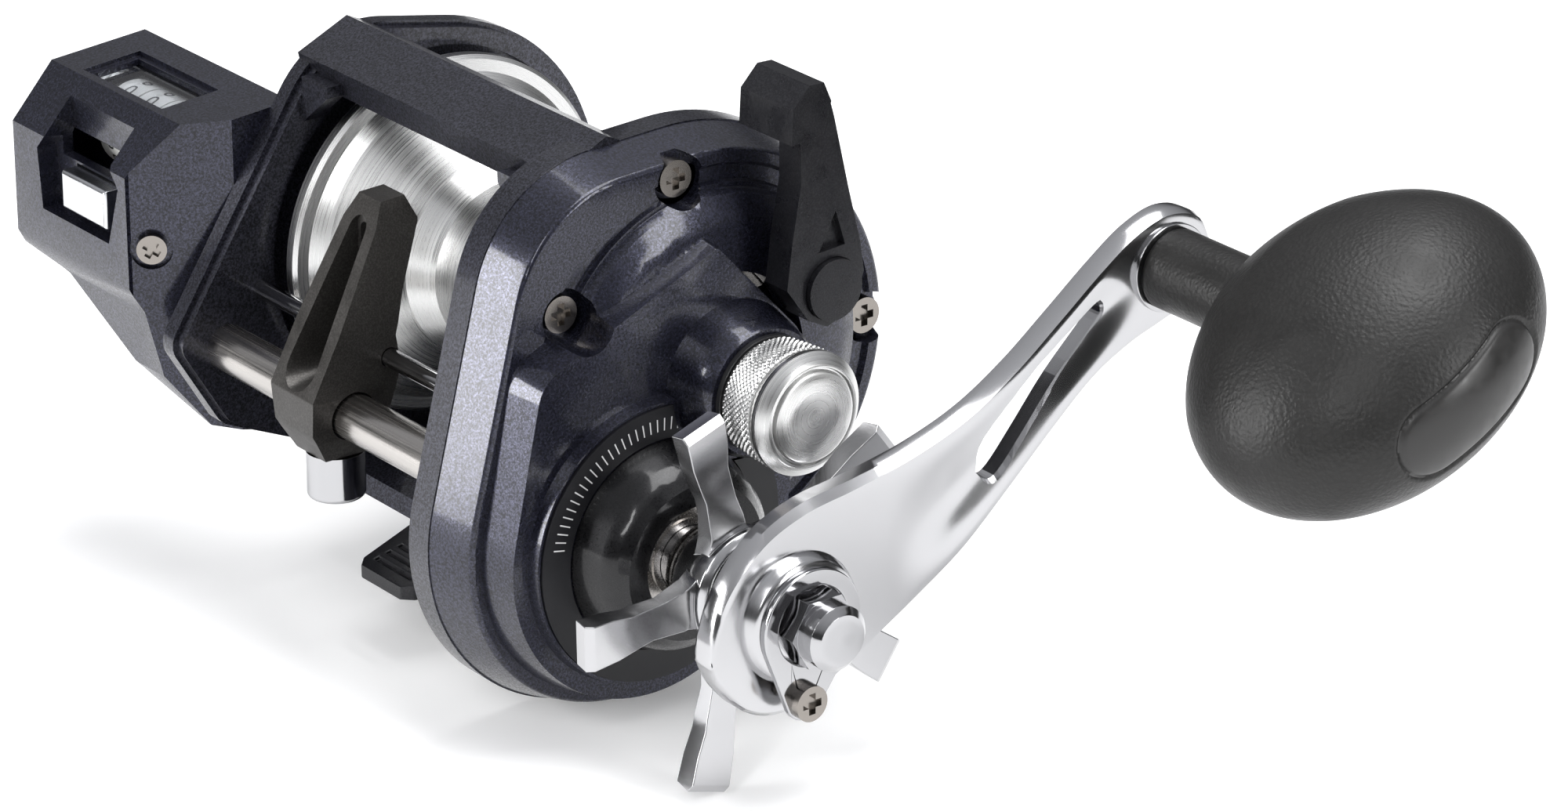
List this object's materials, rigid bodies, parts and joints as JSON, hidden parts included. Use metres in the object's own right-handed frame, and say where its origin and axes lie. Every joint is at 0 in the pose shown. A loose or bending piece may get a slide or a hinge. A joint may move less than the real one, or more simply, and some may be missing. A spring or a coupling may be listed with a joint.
{
  "type": "trolling reel",
  "caption": "Levelwind trolling reel with a line counter, star drag, clutch lever, spool tension knob and a swept handle with a rubber power grip.",
  "frame": {"origin": "middle of the reel foot's flat underside, which the rod's reel seat holds", "axes": "+X to the handle side, -Y to the line guide and the rod tip, +Z away from the rod"},
  "size_m": [0.2305, 0.1303, 0.0993],
  "materials": {
    "speckled_paint": "coarse blue-black metallic paint",
    "blue_shell": "satin blue-black metallic paint",
    "black_coat": "satin black coat",
    "dark_ring": "satin black ring",
    "gunmetal": "fine satin charcoal coat",
    "polished_steel": "polished",
    "brushed_steel": "brushed along its length",
    "machined_aluminium": "turned satin",
    "polished_aluminium": "polished with soft brushing",
    "screw_steel": "blackened steel",
    "gear_brass": "machined",
    "carbon_washer": "woven carbon",
    "rubber_grip": "fine pebbled",
    "black_plastic": "moulded",
    "white_plastic": "moulded with printed figures",
    "lens": "clear lens",
    "silver_plastic": "silver coated"
  },
  "bodies": {
    "frame": {"frame": "speckled_paint", "reel_foot": "black_coat", "foot_screws": "screw_steel", "gear_side_cover": "blue_shell", "gear_cover_screws": "screw_steel", "counter_cover_screws": "screw_steel", "drive_boss_ring": "dark_ring", "counter_side_cover": "blue_shell", "counter_housing": "blue_shell", "counter_window": "lens", "one_way_bearing": "brushed_steel", "spool_bearings": "polished_steel", "worm_bushes": "black_plastic", "levelwind_tube": "brushed_steel", "guide_bar": "polished_steel", "yoke_posts": "brushed_steel", "idler_pins": "brushed_steel", "knob_base_seal": "black_plastic", "tension_shim": "black_plastic"},
    "drive": {"drive_shaft": "polished_steel", "drive_gear": "gear_brass", "levelwind_drive_gear": "white_plastic", "drag_washers": "carbon_washer", "drag_pressure_plate": "brushed_steel", "bearing_sleeve": "polished_steel", "drag_spring_washers": "brushed_steel", "star_spacer": "machined_aluminium", "handle_arm": "polished_aluminium", "handle_nut": "polished_steel", "nut_retainer": "polished_steel", "retainer_screw": "screw_steel", "knob_post": "brushed_steel", "knob_ferrule": "polished_steel", "knob_end_screw": "screw_steel"},
    "star": {"star_drag": "polished_aluminium"},
    "knob": {"knob_grip": "rubber_grip", "knob_inlay": "rubber_grip", "knob_bushes": "black_plastic"},
    "spool": {"spool": "machined_aluminium", "spool_shaft": "polished_steel", "spool_counter_gear": "white_plastic"},
    "pinion": {"pinion_gear": "gear_brass"},
    "yoke": {"clutch_yoke": "black_plastic"},
    "lever": {"clutch_lever": "black_coat", "lever_cap": "black_coat", "clutch_shaft": "brushed_steel"},
    "tension": {"tension_knob": "machined_aluminium"},
    "worm": {"worm_shaft": "polished_steel", "worm_gear": "white_plastic"},
    "levelwind_idler": {"levelwind_idler_gear": "white_plastic"},
    "guide": {"line_guide": "gunmetal", "guide_pawl": "brushed_steel", "pawl_cap": "polished_steel"},
    "counter_idler": {"counter_idler_gear": "white_plastic"},
    "digit_units": {"digit_wheel_units": "white_plastic", "counter_axle": "brushed_steel", "counter_input_gear": "white_plastic"},
    "digit_tens": {"digit_wheel_tens": "white_plastic"},
    "digit_hundreds": {"digit_wheel_hundreds": "white_plastic"},
    "button": {"reset_button": "silver_plastic"}
  },
  "joints": [
    {"name": "drive_spin", "type": "hinge", "parent": "frame", "child": "drive", "pos_m": [0.05, -0.015, 0.021], "axis": [1, 0, 0], "continuous": true},
    {"name": "star_turn", "type": "hinge", "parent": "drive", "child": "star", "pos_m": [0.068, -0.015, 0.021], "axis": [1, 0, 0], "range_deg": [-180, 180]},
    {"name": "knob_spin", "type": "hinge", "parent": "drive", "child": "knob", "pos_m": [0.1, 0.0555, 0.059], "axis": [1, 0, 0], "continuous": true},
    {"name": "spool_spin", "type": "hinge", "parent": "frame", "child": "spool", "pos_m": [0, 0, 0.04365], "axis": [1, 0, 0], "continuous": true},
    {"name": "clutch_throw", "type": "hinge", "parent": "frame", "child": "lever", "pos_m": [0.048, 0.0144, 0.0562], "axis": [1, 0, 0], "range_deg": [-35, 0]},
    {"name": "yoke_slide", "type": "slide", "parent": "frame", "child": "yoke", "axis": [1, 0, 0], "range_m": [0, 0.0025]},
    {"name": "pinion_spin", "type": "hinge", "parent": "yoke", "child": "pinion", "pos_m": [0.038, 0, 0.04365], "axis": [1, 0, 0], "continuous": true},
    {"name": "tension_turn", "type": "hinge", "parent": "frame", "child": "tension", "pos_m": [0.062, 0, 0.04365], "axis": [1, 0, 0], "range_deg": [-180, 180]},
    {"name": "levelwind_idler_spin", "type": "hinge", "parent": "frame", "child": "levelwind_idler", "pos_m": [0.035, -0.02883, 0.03155], "axis": [1, 0, 0], "continuous": true},
    {"name": "worm_spin", "type": "hinge", "parent": "frame", "child": "worm", "pos_m": [0, -0.039, 0.0324], "axis": [1, 0, 0], "continuous": true},
    {"name": "guide_slide", "type": "slide", "parent": "frame", "child": "guide", "axis": [1, 0, 0], "range_m": [-0.0232, 0.0228]},
    {"name": "counter_idler_spin", "type": "hinge", "parent": "frame", "child": "counter_idler", "pos_m": [-0.0386, -0.01468, 0.05318], "axis": [1, 0, 0], "continuous": true},
    {"name": "digit_units_spin", "type": "hinge", "parent": "frame", "child": "digit_units", "pos_m": [-0.06, -0.0315, 0.057], "axis": [1, 0, 0], "continuous": true},
    {"name": "digit_tens_spin", "type": "hinge", "parent": "frame", "child": "digit_tens", "pos_m": [-0.06, -0.0315, 0.057], "axis": [1, 0, 0], "continuous": true},
    {"name": "digit_hundreds_spin", "type": "hinge", "parent": "frame", "child": "digit_hundreds", "pos_m": [-0.06, -0.0315, 0.057], "axis": [1, 0, 0], "continuous": true},
    {"name": "reset_press", "type": "slide", "parent": "frame", "child": "button", "axis": [0, 1, 0], "range_m": [0, 0.0014], "stiffness_N_per_m": 300}
  ],
  "couplings": [
    {"joint": "spool_spin", "follows": "drive_spin", "ratio": -6.3},
    {"joint": "pinion_spin", "follows": "drive_spin", "ratio": -6.3},
    {"joint": "levelwind_idler_spin", "follows": "drive_spin", "ratio": -1.2308},
    {"joint": "worm_spin", "follows": "drive_spin", "ratio": 4},
    {"joint": "counter_idler_spin", "follows": "drive_spin", "ratio": 1.8667},
    {"joint": "digit_units_spin", "follows": "drive_spin", "ratio": -6.72},
    {"joint": "digit_tens_spin", "follows": "drive_spin", "ratio": -0.672},
    {"joint": "digit_hundreds_spin", "follows": "drive_spin", "ratio": -0.0672},
    {"joint": "yoke_slide", "follows": "clutch_throw", "m_per_rad": -0.0040926}
  ]
}
